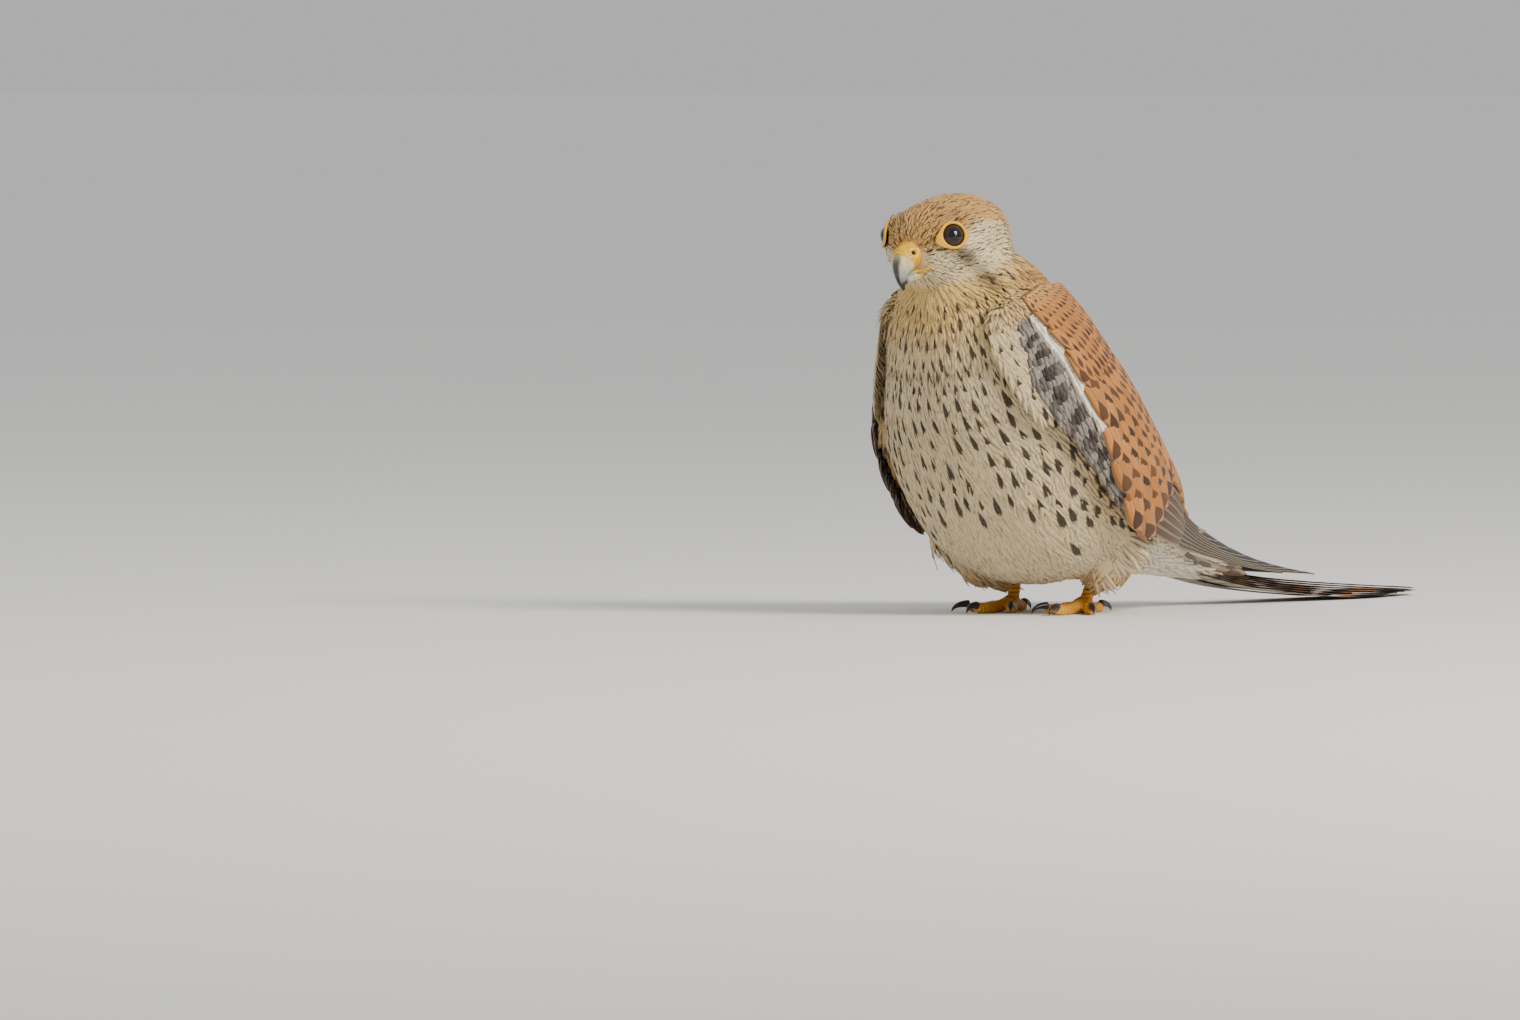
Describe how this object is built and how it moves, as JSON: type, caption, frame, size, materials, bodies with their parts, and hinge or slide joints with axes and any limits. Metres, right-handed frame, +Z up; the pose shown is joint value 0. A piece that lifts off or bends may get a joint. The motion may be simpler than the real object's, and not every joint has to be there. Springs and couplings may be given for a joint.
{
  "type": "common kestrel",
  "caption": "Small falcon standing upright with folded wings and its tail laid along the floor, a life-size still model for display.",
  "frame": {"origin": "middle of the box around the bird, on the floor plane under its feet", "axes": "-Y the way the breast faces and +Y along the tail, +X to the bird's left, +Z up"},
  "size_m": [0.1129, 0.3068, 0.1564],
  "materials": {
    "crown": "matte",
    "breast": "matte",
    "wing": "matte",
    "tail": "matte",
    "rump": "matte",
    "thigh": "matte",
    "skin": "satin",
    "horn": "gloss",
    "eye": "gloss"
  },
  "bodies": {
    "root": {"head": "crown", "neck": "crown", "torso": "breast", "rump": "rump", "tail_feathers": "tail", "wing_left": "wing", "wing_right": "wing", "thigh_left": "thigh", "thigh_right": "thigh", "cere": "skin", "bill_upper": "horn", "bill_lower": "horn", "eye_left": "eye", "eyelid_left": "skin", "foot_left": "skin", "tarsus_left": "skin", "claw_left_inner": "horn", "claw_left_middle": "horn", "claw_left_outer": "horn", "claw_left_hind": "horn", "eye_right": "eye", "eyelid_right": "skin", "foot_right": "skin", "tarsus_right": "skin", "claw_right_inner": "horn", "claw_right_middle": "horn", "claw_right_outer": "horn", "claw_right_hind": "horn"}
  },
  "joints": []
}
